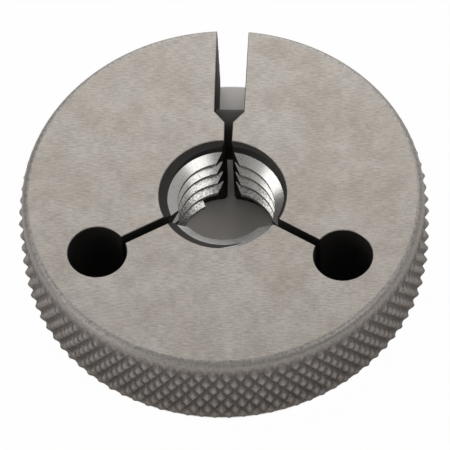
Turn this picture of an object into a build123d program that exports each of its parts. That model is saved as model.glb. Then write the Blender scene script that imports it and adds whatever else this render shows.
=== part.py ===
"""Adjustable thread ring gauge, go type, for a 1/2-13 external thread.

A knurled steel disc carries the ground gauging thread. One saw cut splits it through to
the rim and two more end in round relief holes, so the ring can flex by a few hundredths.
A sleeve bridges the split, a hollow adjusting screw bears on the sleeve and holds the
split open, and a locking screw pulls the two halves together on it.

Millimetres. The origin is on the bottom face under the centre of the rim, +Z is the
gauge's axis and the split is towards +Y. The two screws lie along X.
"""

import os
from math import cos, pi, radians, sin, tan

from build123d import *

# ---- driving dimensions ----------------------------------------------------------------
OUTSIDE_R = 22.4  # over the crests of the knurl, raised on a 44.45 mm (1 3/4 in) blank
THICKNESS = 11.11  # 7/16 in

# rim: a diamond knurl between two rounded shoulders
FACE_R = 21.1  # where the ground face meets the shoulder
SHOULDER_R = 21.8
SHOULDER_HEIGHT = 0.45
END_ROW_R = 22.27  # the knurl's outermost crests, on the shoulder's curve
END_ROW_HEIGHT = 1.0
KNURL_TEETH = 92  # around the rim, 1.52 mm apart, for helices at 30 degrees
KNURL_ROWS = 7  # from one outermost row of crests to the other
KNURL_DEPTH = 0.45
KNURL_START_ANGLE = -0.77  # a crest of the bottom row, from +X

# gauging thread, 1/2-13, right hand
PITCH = 25.4 / 13
MINOR_R = 10.58 / 2
MAJOR_R = 12.7 / 2
CREST_FLAT = 0.40
FLANK_ANGLE = 30.0  # from a plane square to the axis
RIDGE_START_ANGLE = 121.0  # blunt lower end of the thread, from +X
RIDGE_START_Z = 1.27  # middle of the crest at that end
RIDGE_TURNS = 4 + 209 / 360  # to the blunt upper end

# the thread and the split were cut on a line this far beside the rim's centre
BORE_X = 0.32

# shallow recess round each mouth of the thread, on the rim's centre
RECESS_R = 6.95
RECESS_INNER_R = 5.9
RECESS_SLOPE = 25.0

# saw cuts and relief holes
SLIT_WIDTH = 0.92
SLIT_ANGLES = (210.0, 330.0)
RELIEF_HOLE_R = 3.2
RELIEF_PITCH_R = 15.3
# a vee at the mouth of every cut: distance from the bore's centre, width of the gap
MOUTH = ((4.9, 2.77), (6.35, 1.28))
# the split beyond its mouth, sprung 0.28 mm open by the adjusting screw
SPLIT = ((6.8, 0.82), (9.35, 0.88), (10.75, 3.24), (OUTSIDE_R, 3.52), (OUTSIDE_R + 2, 3.57))

# screw line: parallel to X, through the split at mid-thickness
SCREW_Y = 11.4
SCREW_Z = THICKNESS / 2
HEAD_SHOULDER_X = -11.0  # the locking screw's head bears here
SLEEVE_SEAT_X = -7.5  # the sleeve's closed end bears here
SLEEVE_END_X = 5.5  # the adjusting screw bears on the sleeve here
TAPPING_END_X = 4.5
WAY_IN_R = 6.35 / 2  # counterbore on the left, tapped hole on the right
FIT_GAP = 0.05  # radial, between each screw and its thread
SLEEVE_R = 5.56 / 2
SLEEVE_BORE_R = 3.7 / 2
SLEEVE_GAP = 0.02
WEB_HOLE_R = 3.8 / 2
ADJUSTING_LENGTH = 8.0
SHANK_R = 3.4 / 2
SHANK_LENGTH = 22.5
HEAD_R = 5.7 / 2
HEAD_HEIGHT = 3.5
DRIVER_SLOT_WIDTH = 1.2
DRIVER_SLOT_DEPTH = 1.5
SCREW_CHAMFER = 0.4

BEYOND = 2.0  # how far a cutter runs past the face it opens
SIDES = 2 * KNURL_TEETH  # crests and valleys round the rim


# ---- the knurled blank -----------------------------------------------------------------
def rim_point(radius, step, z):
    """A point on the rim, counted in half knurl pitches from the first crest."""
    angle = radians(KNURL_START_ANGLE) + pi * step / KNURL_TEETH
    return Vector(radius * cos(angle), radius * sin(angle), z)


def knurl_point(step, row):
    """Crests and valley crossings alternate along every row, and from row to row."""
    step %= SIDES
    if (step + row) % 2:
        radius = OUTSIDE_R - KNURL_DEPTH
    else:
        radius = END_ROW_R if row in (0, KNURL_ROWS) else OUTSIDE_R
    height = THICKNESS - 2 * END_ROW_HEIGHT
    return rim_point(radius, step, END_ROW_HEIGHT + height * row / KNURL_ROWS)


def facet(*corners):
    """A flat face between three or more corners."""
    return Face(Wire.make_polygon(corners))


def knurl_facets():
    """Four-sided pyramids: every cell is folded along its valley."""
    facets = []
    for row in range(KNURL_ROWS):
        for step in range(SIDES):
            a, b = knurl_point(step, row), knurl_point(step + 1, row)
            d, c = knurl_point(step, row + 1), knurl_point(step + 1, row + 1)
            if (step + row) % 2 == 0:
                facets += [facet(a, b, d), facet(b, c, d)]
            else:
                facets += [facet(a, b, c), facet(a, c, d)]
    return facets


def shoulder_facets(row, face_z, shoulder_z):
    """The shoulder from an end row of the knurl to a flat face, and that face."""
    facets = []
    edge = [rim_point(FACE_R, step, face_z) for step in range(SIDES)]
    middle = [rim_point(SHOULDER_R, step, shoulder_z) for step in range(SIDES)]
    for step in range(SIDES):
        following = (step + 1) % SIDES
        near, far = middle[step], middle[following]
        a, b = knurl_point(step, row), knurl_point(step + 1, row)
        if (step + row) % 2 == 0:
            facets += [facet(near, a, b), facet(near, b, far)]
        else:
            facets += [facet(far, a, b), facet(near, a, far)]
        facets.append(facet(edge[step], near, far, edge[following]))
    return facets + [facet(*edge)]


def knurled_blank():
    """The disc before it is bored and sawn."""
    skin = knurl_facets()
    skin += shoulder_facets(0, 0, SHOULDER_HEIGHT)
    skin += shoulder_facets(KNURL_ROWS, THICKNESS, THICKNESS - SHOULDER_HEIGHT)
    return Solid(Shell(skin))


# ---- the thread ------------------------------------------------------------------------
def flank_rise(radius):
    """Half the thickness of the thread ridge at a radius."""
    return CREST_FLAT / 2 + (radius - MINOR_R) * tan(radians(FLANK_ANGLE))


CREST_TRIM = 0.1  # the ridge is swept this much too high, then bored to size
ROOT_OVERLAP = 0.85  # how far the ridge is buried in the wall
TURN_GAP = 0.05  # between one turn and the next, inside the wall

with BuildPart() as bore:
    with BuildSketch(Plane.XY):
        with Locations((BORE_X, 0)):
            Circle(MAJOR_R)
    extrude(amount=THICKNESS)
    recess_depth = (RECESS_R - RECESS_INNER_R) * tan(radians(RECESS_SLOPE))
    with BuildSketch(Plane.XZ):
        for z, inward in ((0, 1), (THICKNESS, -1)):
            with BuildLine():
                Polyline(
                    (0, z),
                    (RECESS_R, z),
                    (RECESS_INNER_R, z + inward * recess_depth),
                    (0, z + inward * recess_depth),
                    close=True,
                )
            make_face()
    revolve(axis=Axis.Z)

with BuildPart() as thread_ridge:
    with BuildLine():
        Helix(PITCH, PITCH * RIDGE_TURNS, MAJOR_R)
    inner = MINOR_R - CREST_TRIM
    outer = MAJOR_R + ROOT_OVERLAP
    with BuildSketch(Plane.XZ):
        with BuildLine():
            Polyline(
                (inner, -flank_rise(inner)),
                (inner, flank_rise(inner)),
                (outer, flank_rise(outer)),
                (outer, flank_rise(outer) - PITCH + TURN_GAP),
                (MAJOR_R, -flank_rise(MAJOR_R)),
                close=True,
            )
        make_face()
    sweep(is_frenet=True)
    with BuildSketch(Plane.XY):
        Circle(MINOR_R)
    extrude(amount=THICKNESS, mode=Mode.SUBTRACT)

# ---- saw cuts, relief holes and screw holes --------------------------------------------
def gap_outline(widths, across=0.0):
    """Corners of a cut that runs along +Y, from its widths at a few distances."""
    left = [(across - width / 2, distance) for distance, width in widths]
    right = [(across + width / 2, distance) for distance, width in widths]
    return left + right[::-1]


with BuildPart() as openings:
    # the two blind cuts, their mouths and the holes that they end in
    with BuildSketch(Plane.XY):
        for angle in SLIT_ANGLES:
            with Locations(Rotation(0, 0, angle)):
                with Locations((RELIEF_PITCH_R, 0)):
                    Circle(RELIEF_HOLE_R)
                with Locations((RELIEF_PITCH_R / 2, 0)):
                    Rectangle(RELIEF_PITCH_R, SLIT_WIDTH)
            to_bore = BORE_X * cos(radians(angle))
            mouth = [(across, out + to_bore) for across, out in gap_outline((*MOUTH, (6.7, SLIT_WIDTH)))]
            with BuildLine(Rotation(0, 0, angle - 90)):
                Polyline(*mouth, close=True)
            make_face()
    extrude(amount=THICKNESS)
    # the split: vee, narrow, flared, then wide out to the rim
    with BuildSketch(Plane.XY):
        with BuildLine():
            Polyline(*gap_outline(MOUTH + SPLIT, BORE_X), close=True)
        make_face()
    extrude(amount=THICKNESS)
    # the screw line, from the left rim to the right rim
    for start_x, end_x, radius in (
        (-OUTSIDE_R, HEAD_SHOULDER_X, WAY_IN_R),
        (HEAD_SHOULDER_X, SLEEVE_SEAT_X, WEB_HOLE_R),
        (SLEEVE_SEAT_X, TAPPING_END_X, SLEEVE_R + SLEEVE_GAP),
        (TAPPING_END_X, OUTSIDE_R, WAY_IN_R),
    ):
        with BuildSketch(Plane((start_x, SCREW_Y, SCREW_Z), (0, 1, 0), (1, 0, 0))):
            Circle(radius)
        extrude(amount=end_x - start_x)

# ---- the ring --------------------------------------------------------------------------
with BuildPart() as thread:
    ridge_place = Location((BORE_X, 0, RIDGE_START_Z), (0, 0, RIDGE_START_ANGLE))
    add(thread_ridge.part.moved(ridge_place))
    # its upper end is ground off level with the face
    with BuildSketch(Plane.XY.offset(THICKNESS)):
        Circle(2 * MAJOR_R)
    extrude(amount=BEYOND, mode=Mode.SUBTRACT)
    add(openings.part, mode=Mode.SUBTRACT)

with BuildPart() as ring_body:
    add(knurled_blank())
    add(bore.part, mode=Mode.SUBTRACT)
    add(openings.part, mode=Mode.SUBTRACT)
    add(thread.part)
ring_body.part.label = "ring_body"

# ---- sleeve across the split -----------------------------------------------------------
with BuildPart() as sleeve:
    with BuildSketch(Plane((SLEEVE_SEAT_X, SCREW_Y, SCREW_Z), (0, 1, 0), (1, 0, 0))):
        Circle(SLEEVE_R)
        Circle(SLEEVE_BORE_R, mode=Mode.SUBTRACT)
    extrude(amount=SLEEVE_END_X - SLEEVE_SEAT_X)
    ends = sleeve.edges().filter_by(GeomType.CIRCLE).sort_by(SortBy.RADIUS)[-2:]
    chamfer(ends, SCREW_CHAMFER / 2)
sleeve.part.label = "sleeve"

# ---- hollow adjusting screw, on the right ----------------------------------------------
ADJUSTING_OUTER_X = SLEEVE_END_X + ADJUSTING_LENGTH
with BuildPart() as adjusting_screw:
    with BuildSketch(Plane((SLEEVE_END_X, SCREW_Y, SCREW_Z), (0, 1, 0), (1, 0, 0))):
        Circle(WAY_IN_R - FIT_GAP)
        Circle(SHANK_R + FIT_GAP, mode=Mode.SUBTRACT)
    extrude(amount=ADJUSTING_LENGTH)
    ends = adjusting_screw.edges().filter_by(GeomType.CIRCLE).sort_by(SortBy.RADIUS)[-2:]
    chamfer(ends, SCREW_CHAMFER)
    with BuildSketch(Plane((ADJUSTING_OUTER_X, SCREW_Y, SCREW_Z), (0, 1, 0), (1, 0, 0))):
        Rectangle(2 * WAY_IN_R, DRIVER_SLOT_WIDTH)
    extrude(amount=-DRIVER_SLOT_DEPTH, mode=Mode.SUBTRACT)
adjusting_screw.part.label = "adjusting_screw"

# ---- locking screw, head on the left ---------------------------------------------------
HEAD_OUTER_X = HEAD_SHOULDER_X - HEAD_HEIGHT
with BuildPart() as locking_screw:
    with BuildSketch(Plane((HEAD_OUTER_X, SCREW_Y, SCREW_Z), (0, 1, 0), (1, 0, 0))):
        Circle(HEAD_R)
    extrude(amount=HEAD_HEIGHT)
    fillet(locking_screw.edges().sort_by(Axis.X)[0], SCREW_CHAMFER)
    with BuildSketch(Plane((HEAD_SHOULDER_X, SCREW_Y, SCREW_Z), (0, 1, 0), (1, 0, 0))):
        Circle(SHANK_R)
    extrude(amount=SHANK_LENGTH)
    chamfer(locking_screw.edges().sort_by(Axis.X)[-1], SCREW_CHAMFER)
    with BuildSketch(Plane((HEAD_OUTER_X, SCREW_Y, SCREW_Z), (0, 1, 0), (1, 0, 0))):
        Rectangle(2 * WAY_IN_R, DRIVER_SLOT_WIDTH)
    extrude(amount=DRIVER_SLOT_DEPTH, mode=Mode.SUBTRACT)
locking_screw.part.label = "locking_screw"

# ---- files -----------------------------------------------------------------------------
os.makedirs("parts", exist_ok=True)
for piece in (ring_body, sleeve, adjusting_screw, locking_screw):
    export_step(piece.part, f"parts/{piece.part.label}.step")
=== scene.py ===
"""Adjustable thread ring gauge: the visible pieces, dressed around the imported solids.

The knurled disc, the sleeve across its split and its two screws are each meshed finer
than their solids, with the edges that a grinder breaks, and take their finishes here.
Sizes are in millimetres in the classes and in metres in the meshes.
"""

import logging
from collections.abc import Callable, Iterable, Sequence
from dataclasses import dataclass
from enum import Enum
from math import cos, hypot, pi, radians, sin, tan
from typing import Any

import bmesh
import bpy
from mathutils import Matrix, Vector


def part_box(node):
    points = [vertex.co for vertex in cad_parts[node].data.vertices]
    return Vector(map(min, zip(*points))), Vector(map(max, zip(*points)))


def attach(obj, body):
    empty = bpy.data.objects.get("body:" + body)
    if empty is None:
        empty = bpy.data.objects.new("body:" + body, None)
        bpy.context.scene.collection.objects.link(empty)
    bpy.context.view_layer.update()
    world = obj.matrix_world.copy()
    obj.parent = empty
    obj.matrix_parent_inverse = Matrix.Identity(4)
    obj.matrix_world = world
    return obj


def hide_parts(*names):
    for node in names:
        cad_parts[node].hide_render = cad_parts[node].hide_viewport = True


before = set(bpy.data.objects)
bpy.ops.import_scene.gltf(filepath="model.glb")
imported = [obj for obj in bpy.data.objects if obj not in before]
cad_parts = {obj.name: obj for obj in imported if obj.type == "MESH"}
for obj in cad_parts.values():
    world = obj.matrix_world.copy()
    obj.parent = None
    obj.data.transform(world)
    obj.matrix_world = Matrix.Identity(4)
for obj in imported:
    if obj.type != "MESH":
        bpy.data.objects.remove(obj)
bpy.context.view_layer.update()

LOG = logging.getLogger("ring_gauge")
MM = 0.001
WELD = 1e-6  # metres, under which two points are one

FLAT = 0.9999  # of a unit normal along Z, above which a face stays evenly lit
HELIX_STEPS = 48  # points in one turn of a screw's thread
BORE_SIDES, HOLE_SIDES = 192, 128

MATHS, VECTORS = "ShaderNodeMath", "ShaderNodeVectorMath"
NOISE, RANGE = "ShaderNodeTexNoise", "ShaderNodeMapRange"
MULTIPLY_ADD = {"operation": "MULTIPLY_ADD"}
SMOOTHLY = {"interpolation_type": "SMOOTHSTEP"}

Point = tuple[float, float]
Triple = tuple[float, float, float]
Tree = bpy.types.NodeTree
Socket = bpy.types.NodeSocket
Mesh = bpy.types.Mesh


# ---- small tools ---------------------------------------------------------------------
def linear(hex_colour: str) -> tuple[float, float, float, float]:
    """Turn an sRGB hex colour into the linear colour that a shader takes.

    Args:
        hex_colour: Six hex digits after a hash.

    Returns:
        Red, green, blue and an alpha of 1.
    """
    shares = [int(hex_colour[i : i + 2], 16) / 255 for i in (1, 3, 5)]
    red, green, blue = (
        s / 12.92 if s <= 0.04045 else ((s + 0.055) / 1.055) ** 2.4 for s in shares
    )
    return (red, green, blue, 1.0)


def add_node(
    tree: Tree,
    kind: str,
    values: dict[Any, Any] | Sequence[Any] = (),
    **settings: Any,
) -> bpy.types.Node:
    """Add a node, set its properties, and set or link its inputs.

    Args:
        tree: The tree that gets the node.
        kind: The node's type name.
        values: Its inputs, in order or by name. A socket is linked, not set.
        settings: Properties of the node itself.

    Returns:
        The new node.
    """
    node = tree.nodes.new(kind)
    for name, setting in settings.items():
        setattr(node, name, setting)
    pairs = values.items() if isinstance(values, dict) else enumerate(values)
    for key, value in pairs:
        if isinstance(value, Socket):
            tree.links.new(value, node.inputs[key])
        else:
            node.inputs[key].default_value = value
    return node


def add_nodes(
    tree: Tree, known: dict[str, Socket], rows: Iterable[tuple[str, str, Any, Any]]
) -> None:
    """Add nodes that feed one another.

    Args:
        tree: The tree that gets the nodes.
        known: Sockets by name, which every new node's first live output joins.
        rows: Each node's own name, kind, inputs and settings. A text among the
            inputs is the name of a known socket.
    """
    for name, kind, inputs, settings in rows:
        pairs = inputs.items() if isinstance(inputs, dict) else enumerate(inputs)
        values = {key: known[v] if isinstance(v, str) else v for key, v in pairs}
        outputs = add_node(tree, kind, values, **settings).outputs
        known[name] = next(output for output in outputs if output.enabled)


def new_object(name: str, mesh: Mesh) -> bpy.types.Object:
    """Put a mesh into the scene at the origin.

    Args:
        name: The object's name.
        mesh: Its mesh.

    Returns:
        The object.
    """
    made = bpy.data.objects.new(name, mesh)
    bpy.context.scene.collection.objects.link(made)
    return made


def settled_mesh(made: bpy.types.Object) -> Mesh:
    """The mesh of an object with its modifiers carried out.

    Args:
        made: An object whose modifiers are live.

    Returns:
        A plain new mesh.
    """
    bpy.context.view_layer.update()
    depsgraph = bpy.context.evaluated_depsgraph_get()
    return bpy.data.meshes.new_from_object(made.evaluated_get(depsgraph))


class Join(Enum):
    """How two closed meshes are put together."""

    CUT = "DIFFERENCE"
    ADD = "UNION"
    KEEP = "INTERSECT"


def joined(body: Mesh, tool: Mesh, how: Join) -> Mesh:
    """Cut one closed mesh with another, or weld it on.

    Args:
        body: The mesh that is worked on.
        tool: The cutter, or the piece that is welded on.
        how: What is done.

    Returns:
        The new closed mesh.
    """
    work, cutter = new_object("work", body), new_object("cutter", tool)
    step = work.modifiers.new("join", "BOOLEAN")
    step.solver, step.operation, step.object = "MANIFOLD", how.value, cutter
    result = settled_mesh(work)
    for spent in (work, cutter):
        bpy.data.objects.remove(spent)
    return result


class Axis(Enum):
    """The line that a turned piece is made round."""

    UP = "z"
    ALONG = "x"


def place(
    axis: Axis, centre: Triple, radius: float, angle: float, run: float
) -> Vector:
    """A point on a turned piece, in metres.

    Args:
        axis: The line that it is turned round.
        centre: A point on that line.
        radius: Distance from the line.
        angle: Angle round the line, in radians.
        run: Distance along the line from the centre.

    Returns:
        The point.
    """
    across, over = radius * cos(angle), radius * sin(angle)
    if axis is Axis.UP:
        offset = Vector((across, over, run))
    else:
        offset = Vector((run, across, over))
    return (Vector(centre) + offset) * MM


def turned(
    profile: Sequence[Point], axis: Axis, centre: Triple, sides: int = 96
) -> Mesh:
    """Turn a closed piece from the outline of its half section.

    Args:
        profile: Radius and distance along the axis, from end to end. A radius of 0
            makes a pole, and without one the outline closes on itself as a tube.
        axis: The line that it is turned round.
        centre: The point where that distance is 0.
        sides: Facets round the piece.

    Returns:
        The closed mesh.
    """
    work = bmesh.new()
    rings: list[list[bmesh.types.BMVert]] = []
    for radius, run in profile:
        count = sides if radius > 0 else 1
        rings.append(
            [
                work.verts.new(place(axis, centre, radius, 2 * pi * i / sides, run))
                for i in range(count)
            ]
        )
    if len(rings[0]) > 1:
        rings.append(rings[0])
    for first, second in zip(rings, rings[1:]):
        for i in range(sides):
            j = (i + 1) % sides
            corners = [
                first[i % len(first)],
                first[j % len(first)],
                second[j % len(second)],
                second[i % len(second)],
            ]
            work.faces.new(list(dict.fromkeys(corners)))
    return closed_mesh(work)


def layered(levels: Sequence[tuple[float, Sequence[Point]]]) -> Mesh:
    """Stack outlines with equal numbers of corners into one closed prism.

    Args:
        levels: Height and outline of every level, from the lowest up.

    Returns:
        The closed mesh.
    """
    work = bmesh.new()
    loops = [
        [work.verts.new(Vector((x, y, z)) * MM) for x, y in outline]
        for z, outline in levels
    ]
    work.faces.new(loops[0][::-1])
    work.faces.new(loops[-1])
    count = len(loops[0])
    for low, high in zip(loops, loops[1:]):
        for i in range(count):
            j = (i + 1) % count
            work.faces.new((low[i], low[j], high[j], high[i]))
    return closed_mesh(work)


def closed_mesh(work: bmesh.types.BMesh) -> Mesh:
    """Turn a shell's faces outwards and make it a mesh.

    Args:
        work: The shell, which is freed.

    Returns:
        The mesh.
    """
    bmesh.ops.recalc_face_normals(work, faces=work.faces)
    made = bpy.data.meshes.new("shell")
    work.to_mesh(made)
    work.free()
    return made


# ---- finishes ------------------------------------------------------------------------
@dataclass(frozen=True)
class Finish:
    """What every metal finish here has in common."""

    name: str
    colour: str
    roughness: float
    metallic: float = 1.0

    def material(self) -> bpy.types.Material:
        """The finish as a material, made once."""
        made = bpy.data.materials.get(self.name)
        if made is None:
            made = bpy.data.materials.new(self.name)
            made.use_nodes = True
            tree = made.node_tree
            shader = tree.nodes["Principled BSDF"]
            shader.inputs["Base Color"].default_value = linear(self.colour)
            shader.inputs["Roughness"].default_value = self.roughness
            shader.inputs["Metallic"].default_value = self.metallic
            where = add_node(tree, "ShaderNodeTexCoord").outputs["Object"]
            self.pattern(tree, shader, where)
        return made

    def pattern(self, tree: Tree, shader: bpy.types.Node, where: Socket) -> None:
        """Add what the eye sees on the finish.

        Args:
            tree: The material's nodes.
            shader: Its shader.
            where: Object coordinates, in metres.
        """
        raise NotImplementedError

    def coat(
        self,
        tree: Tree,
        shader: bpy.types.Node,
        base: str,
        layers: Sequence[tuple[str, Any, Any]],
        skin: tuple[Socket, float, float] | None = None,
    ) -> None:
        """Colour the finish in layers, and give it a skin.

        Args:
            tree: The material's nodes.
            shader: Its shader.
            base: The lowest layer's colour.
            layers: How each layer above it blends, its share and its colour.
            skin: The skin's relief, its strength and its depth in millimetres.
        """
        colour: Any = linear(base)
        for blend, share, upper in layers:
            colour = add_node(
                tree,
                "ShaderNodeMix",
                {"Factor": share, "A": colour, "B": upper},
                data_type="RGBA",
                blend_type=blend,
            ).outputs["Result"]
        tree.links.new(colour, shader.inputs["Base Color"])
        if skin:
            relief, strength, depth = skin
            values = {"Height": relief, "Strength": strength, "Distance": depth * MM}
            bump = add_node(tree, "ShaderNodeBump", values)
            tree.links.new(bump.outputs[0], shader.inputs["Normal"])


@dataclass(frozen=True)
class GroundSteel(Finish):
    """Hardened tool steel off a surface grinder.

    The wheel leaves fine lines along X, and years of bench use leave it slightly
    clouded, so it shows a soft grey with no clear reflection.
    """

    line_gap: float = 0.11  # mm; the real lines, 0.03 apart, are too fine to show
    line_length: float = 0.9
    grain: float = 0.3
    mottle_size: float = 1.7
    cloud_size: float = 7.0
    stained_colour: str = "#a0988f"
    detail: float = 3.0
    grain_weight: float = 0.5
    line_weight: float = 0.6
    wear_range: Point = (0.42, 0.58)
    worn_share: float = 0.7  # of the light, where the face is worn most
    cloud_range: Point = (0.35, 0.65)
    clean_share: float = 0.3  # of the clear colour, in the thickest cloud
    line_range: Point = (0.3, 0.7)
    polish_range: Point = (-0.05, 0.06)  # added to the roughness from line to line
    line_depth: float = 0.003
    line_strength: float = 0.2

    def pattern(self, tree: Tree, shader: bpy.types.Node, where: Socket) -> None:
        """Lines along X, grain, clouds, and a little tarnish."""
        per_line, per_length = 1 / (self.line_gap * MM), 1 / (self.line_length * MM)
        scales = {"Vector": "where", "Scale": (per_length, per_line, per_line)}
        noises = (
            ("lines", "stretched", 1.0),
            ("mottle", "where", 1 / (self.mottle_size * MM)),
            ("grain", "where", 1 / (self.grain * MM)),
            ("clouds", "where", 1 / (self.cloud_size * MM)),
        )
        grained = {"Factor": self.grain_weight, "A": "mottle", "B": "grain"}
        lined = {"Factor": self.line_weight, "A": "grained", "B": "lines"}
        kept, clean = (self.worn_share, 1.0), (self.clean_share, 1.0)
        polish = [self.roughness + change for change in self.polish_range]
        known = {"where": where}
        rows = (
            ("stretched", "ShaderNodeMapping", scales, {"vector_type": "POINT"}),
            *(
                (name, NOISE, {"Vector": at, "Scale": scale, "Detail": self.detail}, {})
                for name, at, scale in noises
            ),
            ("grained", "ShaderNodeMix", grained, {"data_type": "FLOAT"}),
            ("wear", "ShaderNodeMix", lined, {"data_type": "FLOAT"}),
            ("kept", RANGE, ("wear", *self.wear_range, *kept), {}),
            ("clean", RANGE, ("clouds", *self.cloud_range, *clean), {}),
            ("polish", RANGE, ("lines", *self.line_range, *polish), {}),
        )
        add_nodes(tree, known, rows)
        layers = (
            ("MIX", known["clean"], linear(self.colour)),
            ("MULTIPLY", 1.0, known["kept"]),
        )
        skin = (known["lines"], self.line_strength, self.line_depth)
        self.coat(tree, shader, self.stained_colour, layers, skin)
        tree.links.new(known["polish"], shader.inputs["Roughness"])


@dataclass(frozen=True)
class KnurledSteel(Finish):
    """Rolled knurl, tumbled and darkened by heat treatment.

    The valleys carry painted shade, darker than the crests, which are also worn paler,
    and the whole rim has a fine grain.
    """

    # painted shade: the colour of the knurl's valleys
    valley_shade_colour: str = "#5f5a57"
    crest_radius: float = 22.3
    thickness: float = 11.11
    valley_depth: float = 0.375
    worn_height: float = 0.16  # mm; nearer than this to a face, all of it is worn, with no painted valley shade
    kept_height: float = 2.72  # and farther than this from both, only the crests are, while the valleys take painted shade
    grain: float = 0.28
    grain_detail: float = 4.0
    grain_depth: float = 0.04
    grain_strength: float = 0.6
    chance: float = 0.8  # up to how much the grain changes the share of wear against painted valley shade
    rubbed_colour: str = "#b9b5b0"
    rubbed_height: float = 0.5  # mm; handling rubs specks bright nearer to a face
    speck_range: Point = (0.3, 0.8)

    def pattern(self, tree: Tree, shader: bpy.types.Node, where: Socket) -> None:
        """Painted shade in the valleys, pale worn crests and shoulders, and grain."""
        height = add_node(tree, "ShaderNodeSeparateXYZ", (where,)).outputs["Z"]
        known = {"where": where, "height": height}
        crest, valley = self.crest_radius, self.crest_radius - self.valley_depth
        grain = {"Vector": "where", "Scale": 1 / (self.grain * MM)}
        grain["Detail"] = self.grain_detail
        kept, worn = self.kept_height * MM, self.worn_height * MM
        top, rubbed = self.thickness * MM, self.rubbed_height * MM
        clamped = {"operation": "ADD", "use_clamp": True}
        rows = (
            ("level", VECTORS, ("where", (1.0, 1.0, 0.0)), {"operation": "MULTIPLY"}),
            ("radius", VECTORS, ("level",), {"operation": "LENGTH"}),
            ("below", MATHS, (top, "height"), {"operation": "SUBTRACT"}),
            ("to face", MATHS, ("height", "below"), {"operation": "MINIMUM"}),
            # the share of the plain colour, which falls to the painted valley shade
            # below the crests
            ("crest", RANGE, ("radius", valley * MM, crest * MM), SMOOTHLY),
            ("shoulder", RANGE, ("to face", kept, worn), SMOOTHLY),
            ("edge", RANGE, ("to face", rubbed, 0.0), SMOOTHLY),
            ("specks", NOISE, grain, {}),
            ("bright", RANGE, ("specks", *self.speck_range), {}),
            ("chance", MATHS, ("specks", 2 * self.chance, -self.chance), MULTIPLY_ADD),
            ("high", MATHS, ("crest", "shoulder"), clamped),
            ("worn", MATHS, ("high", "chance"), clamped),
            ("rubbed", MATHS, ("edge", "bright"), {"operation": "MULTIPLY"}),
        )
        add_nodes(tree, known, rows)
        layers = (
            ("MIX", known["worn"], linear(self.colour)),
            ("MIX", known["rubbed"], linear(self.rubbed_colour)),
        )
        skin = (known["specks"], self.grain_strength, self.grain_depth)
        self.coat(tree, shader, self.valley_shade_colour, layers, skin)


@dataclass(frozen=True)
class PatchySteel(Finish):
    """Dark steel whose skin changes colour in soft patches."""

    patch_colour: str = "#2e2722"
    patch_size: float = 1.2  # mm
    patch_detail: float = 5.0
    patch_range: Point = (0.48, 0.75)
    skin_depth: float = 0.04  # mm; none is smooth
    skin_strength: float = 0.4

    def pattern(self, tree: Tree, shader: bpy.types.Node, where: Socket) -> None:
        """Patches, and the roughness of the skin."""
        scale = 1 / (self.patch_size * MM)
        values = {"Vector": where, "Scale": scale, "Detail": self.patch_detail}
        patches = add_node(tree, NOISE, values).outputs["Fac"]
        share = add_node(tree, RANGE, (patches, *self.patch_range)).outputs[0]
        layers = (("MIX", share, linear(self.patch_colour)),)
        skin = (patches, self.skin_strength, self.skin_depth)
        self.coat(tree, shader, self.colour, layers, skin if self.skin_depth else None)


@dataclass(frozen=True)
class LappedSteel(Finish):
    """Thread flanks that were ground and then lapped: the brightest steel here.

    Fine lap marks follow the thread, so a highlight stays soft along it.
    """

    mark_gap: float = 0.12  # mm; the real marks are finer than the render shows
    # painted shade that deepens down the bore, broken into dark specks
    bore_shade_colour: str = "#4c4744"
    speck_size: float = 0.2  # mm
    unshaded_z: float = 10.0  # mm; painted shade darkens the thread below this, down to
    deep_shade_z: float = 2.0
    mark_shape: Point = (1.2, 2.0)  # distortion and detail
    speck_detail: float = 4.0
    height_range: Point = (-0.1, 0.14)  # added to the painted shade from top to bottom
    shade_range: Point = (0.5, 0.8)
    most_shade: float = 0.9
    polish_range: Point = (-0.04, 0.06)  # added to the roughness from mark to mark

    def pattern(self, tree: Tree, shader: bpy.types.Node, where: Socket) -> None:
        """Lap marks that ring the bore, and painted shade in dark specks that thickens
        down it.
        """
        marks = {"Vector": where, "Scale": pi / (10 * self.mark_gap * MM)}
        marks.update(zip(("Distortion", "Detail"), self.mark_shape))
        rings = {"wave_type": "RINGS", "rings_direction": "Z"}
        known = {
            "where": where,
            "height": add_node(tree, "ShaderNodeSeparateXYZ", (where,)).outputs["Z"],
            "marks": add_node(tree, "ShaderNodeTexWave", marks, **rings).outputs["Fac"],
        }
        speck_inputs = {"Vector": "where", "Scale": 1 / (self.speck_size * MM)}
        speck_inputs["Detail"] = self.speck_detail
        heights = (self.unshaded_z * MM, self.deep_shade_z * MM)
        polish = [self.roughness + change for change in self.polish_range]
        rows = (
            ("specks", NOISE, speck_inputs, {}),
            # painted shade: the specks darken more the deeper they lie in the bore
            ("depth", RANGE, ("height", *heights, *self.height_range), {}),
            ("dirt", MATHS, ("specks", "depth"), {"operation": "ADD"}),
            ("share", RANGE, ("dirt", *self.shade_range, 0.0, self.most_shade), {}),
            ("polish", RANGE, ("marks", 0.0, 1.0, *polish), {}),
        )
        add_nodes(tree, known, rows)
        layers = (("MIX", known["share"], linear(self.bore_shade_colour)),)
        self.coat(tree, shader, self.colour, layers)
        tree.links.new(known["polish"], shader.inputs["Roughness"])


GROUND = GroundSteel("ground_tool_steel", "#a9a49e", 0.34)
# the knurl's valleys carry painted shade
KNURLED = KnurledSteel("knurled_heat_darkened_steel_valley_shade", "#958f8a", 0.48, 0.9)
# its flanks take painted shade deeper down the bore
LAPPED = LappedSteel("lapped_thread_steel", "#cdcbc8", 0.24)
# sawn, drilled and turned walls left with heat-treatment scale: matt and brown-black,
# with rust-brown blooms
SCALED = PatchySteel("heat_treatment_scale", "#232221", 0.62, 0.2)
HARDENED = PatchySteel("hardened_sleeve_steel", "#2b2826", 0.5, 0.5)
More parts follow.
